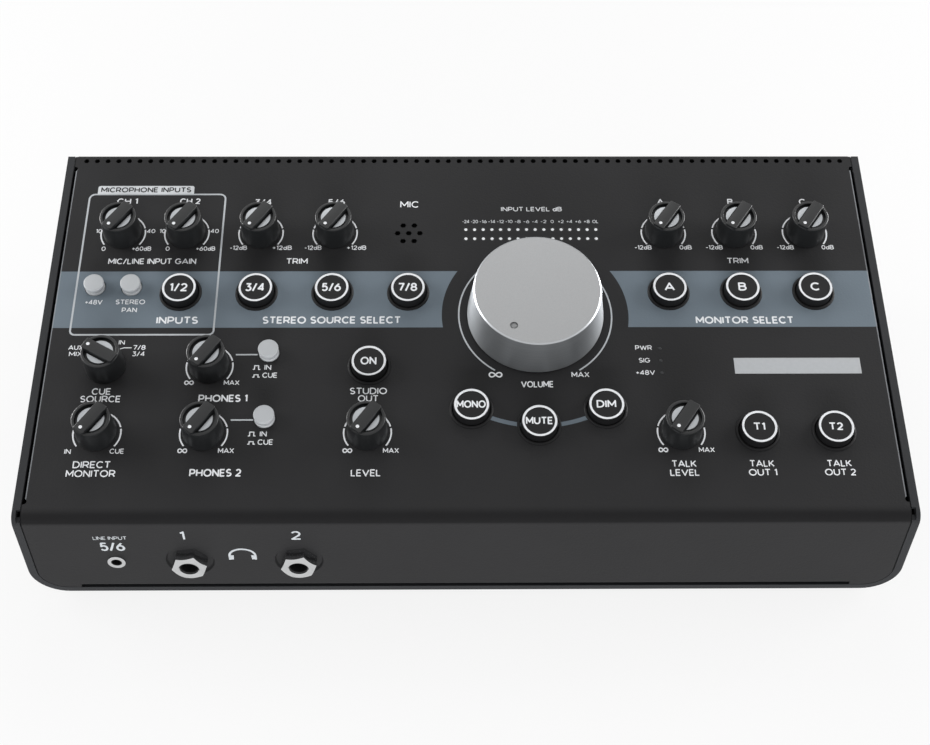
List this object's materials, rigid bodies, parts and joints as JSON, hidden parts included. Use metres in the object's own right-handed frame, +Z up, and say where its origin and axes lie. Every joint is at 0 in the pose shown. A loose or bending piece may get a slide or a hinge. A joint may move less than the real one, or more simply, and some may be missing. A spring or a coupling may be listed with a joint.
{
  "type": "studio monitor controller",
  "caption": "Wedge-shaped steel desktop monitor controller with a sloping panel of knobs, a large volume knob, lit push buttons, front headphone jacks and rear sockets.",
  "frame": {"origin": "on the surface that the feet rest on, at the middle of the object's box", "axes": "+X to the right seen from the front, +Y to the rear, +Z up"},
  "size_m": [0.345, 0.175, 0.0935],
  "materials": {
    "tray_paint": "fine textured powder coat, dark grey",
    "panel_paint": "smooth satin powder coat, dark grey",
    "knob_plastic": "matte moulded, two silver segments let in",
    "turned_aluminium": "anodised, fine turned lines",
    "brass_hardware": "plain",
    "button_plastic": "matte cap with a translucent white ring",
    "light_plastic": "matte light grey",
    "black_plastic": "matte moulded",
    "rocker_plastic": "glossy moulded",
    "pressed_steel": "plated, pressed",
    "circuit_board": "solder resist on laminate",
    "clear_plastic": "frosted light guide",
    "capsule_metal": "electret can in a rubber boot",
    "plated_steel": "nickel plated",
    "cable_sheath": "grey ribbon with black headers",
    "foot_rubber": "soft black rubber"
  },
  "bodies": {
    "housing": {"base_tray": "tray_paint", "button_bezels": "black_plastic", "combo_sockets": "black_plastic", "control_board": "circuit_board", "feet": "foot_rubber", "floor_standoffs": "brass_hardware", "io_board": "circuit_board", "jack_nuts": "plated_steel", "latch_switches": "black_plastic", "line_jacks": "black_plastic", "meter_light_guide": "clear_plastic", "microphone": "capsule_metal", "mini_jack": "black_plastic", "panel_standoffs": "brass_hardware", "phones_board": "circuit_board", "phones_jacks": "black_plastic", "potentiometers": "pressed_steel", "power_inlet": "black_plastic", "power_switch_case": "black_plastic", "rear_panel": "tray_paint", "ribbon_cable": "cable_sheath", "status_light_pipes": "clear_plastic", "tact_switches": "black_plastic", "top_cover": "panel_paint", "usb_socket": "pressed_steel", "volume_potentiometer": "pressed_steel"},
    "gain_1_knob": {"gain_1_knob": "knob_plastic"},
    "gain_2_knob": {"gain_2_knob": "knob_plastic"},
    "trim_34_knob": {"trim_34_knob": "knob_plastic"},
    "trim_56_knob": {"trim_56_knob": "knob_plastic"},
    "trim_a_knob": {"trim_a_knob": "knob_plastic"},
    "trim_b_knob": {"trim_b_knob": "knob_plastic"},
    "trim_c_knob": {"trim_c_knob": "knob_plastic"},
    "cue_source_knob": {"cue_source_knob": "knob_plastic"},
    "direct_monitor_knob": {"direct_monitor_knob": "knob_plastic"},
    "phones_1_knob": {"phones_1_knob": "knob_plastic"},
    "phones_2_knob": {"phones_2_knob": "knob_plastic"},
    "studio_level_knob": {"studio_level_knob": "knob_plastic"},
    "talkback_level_knob": {"talkback_level_knob": "knob_plastic"},
    "volume_knob": {"volume_knob": "turned_aluminium", "volume_spindle": "brass_hardware"},
    "source_12_button": {"source_12_button": "button_plastic"},
    "source_34_button": {"source_34_button": "button_plastic"},
    "source_56_button": {"source_56_button": "button_plastic"},
    "source_78_button": {"source_78_button": "button_plastic"},
    "monitor_a_button": {"monitor_a_button": "button_plastic"},
    "monitor_b_button": {"monitor_b_button": "button_plastic"},
    "monitor_c_button": {"monitor_c_button": "button_plastic"},
    "studio_on_button": {"studio_on_button": "button_plastic"},
    "mono_button": {"mono_button": "button_plastic"},
    "mute_button": {"mute_button": "button_plastic"},
    "dim_button": {"dim_button": "button_plastic"},
    "talk_2track_button": {"talk_2track_button": "button_plastic"},
    "talk_cue_button": {"talk_cue_button": "button_plastic"},
    "phantom_button": {"phantom_button": "light_plastic"},
    "stereo_pan_button": {"stereo_pan_button": "light_plastic"},
    "phones_1_source_button": {"phones_1_source_button": "light_plastic"},
    "phones_2_source_button": {"phones_2_source_button": "light_plastic"},
    "power_rocker": {"power_rocker": "rocker_plastic"}
  },
  "joints": [
    {"name": "gain_1_turn", "type": "hinge", "parent": "housing", "child": "gain_1_knob", "pos_m": [-0.1442, 0.04582, 0.07841], "axis": [0, 0.2164, -0.9763], "range_deg": [0, 290]},
    {"name": "gain_2_turn", "type": "hinge", "parent": "housing", "child": "gain_2_knob", "pos_m": [-0.1174, 0.04582, 0.07841], "axis": [0, 0.2164, -0.9763], "range_deg": [0, 290]},
    {"name": "trim_34_turn", "type": "hinge", "parent": "housing", "child": "trim_34_knob", "pos_m": [-0.08615, 0.04582, 0.07841], "axis": [0, 0.2164, -0.9763], "range_deg": [0, 290]},
    {"name": "trim_56_turn", "type": "hinge", "parent": "housing", "child": "trim_56_knob", "pos_m": [-0.0549, 0.04582, 0.07841], "axis": [0, 0.2164, -0.9763], "range_deg": [0, 290]},
    {"name": "trim_a_turn", "type": "hinge", "parent": "housing", "child": "trim_a_knob", "pos_m": [0.084, 0.04582, 0.07841], "axis": [0, 0.2164, -0.9763], "range_deg": [0, 290]},
    {"name": "trim_b_turn", "type": "hinge", "parent": "housing", "child": "trim_b_knob", "pos_m": [0.114, 0.04582, 0.07841], "axis": [0, 0.2164, -0.9763], "range_deg": [0, 290]},
    {"name": "trim_c_turn", "type": "hinge", "parent": "housing", "child": "trim_c_knob", "pos_m": [0.144, 0.04582, 0.07841], "axis": [0, 0.2164, -0.9763], "range_deg": [0, 290]},
    {"name": "cue_source_turn", "type": "hinge", "parent": "housing", "child": "cue_source_knob", "pos_m": [-0.1442, -0.01764, 0.06434], "axis": [0, 0.2164, -0.9763], "range_deg": [0, 120]},
    {"name": "direct_monitor_turn", "type": "hinge", "parent": "housing", "child": "direct_monitor_knob", "pos_m": [-0.1442, -0.04693, 0.05785], "axis": [0, 0.2164, -0.9763], "range_deg": [0, 290]},
    {"name": "phones_1_turn", "type": "hinge", "parent": "housing", "child": "phones_1_knob", "pos_m": [-0.1027, -0.01764, 0.06434], "axis": [0, 0.2164, -0.9763], "range_deg": [0, 290]},
    {"name": "phones_2_turn", "type": "hinge", "parent": "housing", "child": "phones_2_knob", "pos_m": [-0.1027, -0.04693, 0.05785], "axis": [0, 0.2164, -0.9763], "range_deg": [0, 290]},
    {"name": "studio_level_turn", "type": "hinge", "parent": "housing", "child": "studio_level_knob", "pos_m": [-0.0388, -0.04693, 0.05785], "axis": [0, 0.2164, -0.9763], "range_deg": [0, 290]},
    {"name": "talkback_level_turn", "type": "hinge", "parent": "housing", "child": "talkback_level_knob", "pos_m": [0.084, -0.04693, 0.05785], "axis": [0, 0.2164, -0.9763], "range_deg": [0, 290]},
    {"name": "volume_turn", "type": "hinge", "parent": "housing", "child": "volume_knob", "pos_m": [0.02845, 0.00608, 0.0696], "axis": [0, 0.2164, -0.9763], "range_deg": [0, 300]},
    {"name": "source_12_press", "type": "slide", "parent": "housing", "child": "source_12_button", "axis": [0, 0.2164, -0.9763], "range_m": [0, 0.0012], "stiffness_N_per_m": 1000},
    {"name": "source_34_press", "type": "slide", "parent": "housing", "child": "source_34_button", "axis": [0, 0.2164, -0.9763], "range_m": [0, 0.0012], "stiffness_N_per_m": 1000},
    {"name": "source_56_press", "type": "slide", "parent": "housing", "child": "source_56_button", "axis": [0, 0.2164, -0.9763], "range_m": [0, 0.0012], "stiffness_N_per_m": 1000},
    {"name": "source_78_press", "type": "slide", "parent": "housing", "child": "source_78_button", "axis": [0, 0.2164, -0.9763], "range_m": [0, 0.0012], "stiffness_N_per_m": 1000},
    {"name": "monitor_a_press", "type": "slide", "parent": "housing", "child": "monitor_a_button", "axis": [0, 0.2164, -0.9763], "range_m": [0, 0.0012], "stiffness_N_per_m": 1000},
    {"name": "monitor_b_press", "type": "slide", "parent": "housing", "child": "monitor_b_button", "axis": [0, 0.2164, -0.9763], "range_m": [0, 0.0012], "stiffness_N_per_m": 1000},
    {"name": "monitor_c_press", "type": "slide", "parent": "housing", "child": "monitor_c_button", "axis": [0, 0.2164, -0.9763], "range_m": [0, 0.0012], "stiffness_N_per_m": 1000},
    {"name": "studio_on_press", "type": "slide", "parent": "housing", "child": "studio_on_button", "axis": [0, 0.2164, -0.9763], "range_m": [0, 0.0012], "stiffness_N_per_m": 1000},
    {"name": "mono_press", "type": "slide", "parent": "housing", "child": "mono_button", "axis": [0, 0.2164, -0.9763], "range_m": [0, 0.0012], "stiffness_N_per_m": 1000},
    {"name": "mute_press", "type": "slide", "parent": "housing", "child": "mute_button", "axis": [0, 0.2164, -0.9763], "range_m": [0, 0.0012], "stiffness_N_per_m": 1000},
    {"name": "dim_press", "type": "slide", "parent": "housing", "child": "dim_button", "axis": [0, 0.2164, -0.9763], "range_m": [0, 0.0012], "stiffness_N_per_m": 1000},
    {"name": "talk_2track_press", "type": "slide", "parent": "housing", "child": "talk_2track_button", "axis": [0, 0.2164, -0.9763], "range_m": [0, 0.0012], "stiffness_N_per_m": 1000},
    {"name": "talk_cue_press", "type": "slide", "parent": "housing", "child": "talk_cue_button", "axis": [0, 0.2164, -0.9763], "range_m": [0, 0.0012], "stiffness_N_per_m": 1000},
    {"name": "phantom_press", "type": "slide", "parent": "housing", "child": "phantom_button", "axis": [0, 0.2164, -0.9763], "range_m": [0, 0.0022], "stiffness_N_per_m": 600},
    {"name": "stereo_pan_press", "type": "slide", "parent": "housing", "child": "stereo_pan_button", "axis": [0, 0.2164, -0.9763], "range_m": [0, 0.0022], "stiffness_N_per_m": 600},
    {"name": "phones_1_source_press", "type": "slide", "parent": "housing", "child": "phones_1_source_button", "axis": [0, 0.2164, -0.9763], "range_m": [0, 0.0022], "stiffness_N_per_m": 600},
    {"name": "phones_2_source_press", "type": "slide", "parent": "housing", "child": "phones_2_source_button", "axis": [0, 0.2164, -0.9763], "range_m": [0, 0.0022], "stiffness_N_per_m": 600},
    {"name": "power_rock", "type": "hinge", "parent": "housing", "child": "power_rocker", "pos_m": [0.02, 0.08115, 0.0233], "axis": [1, 0, 0], "range_deg": [0, 18]}
  ]
}
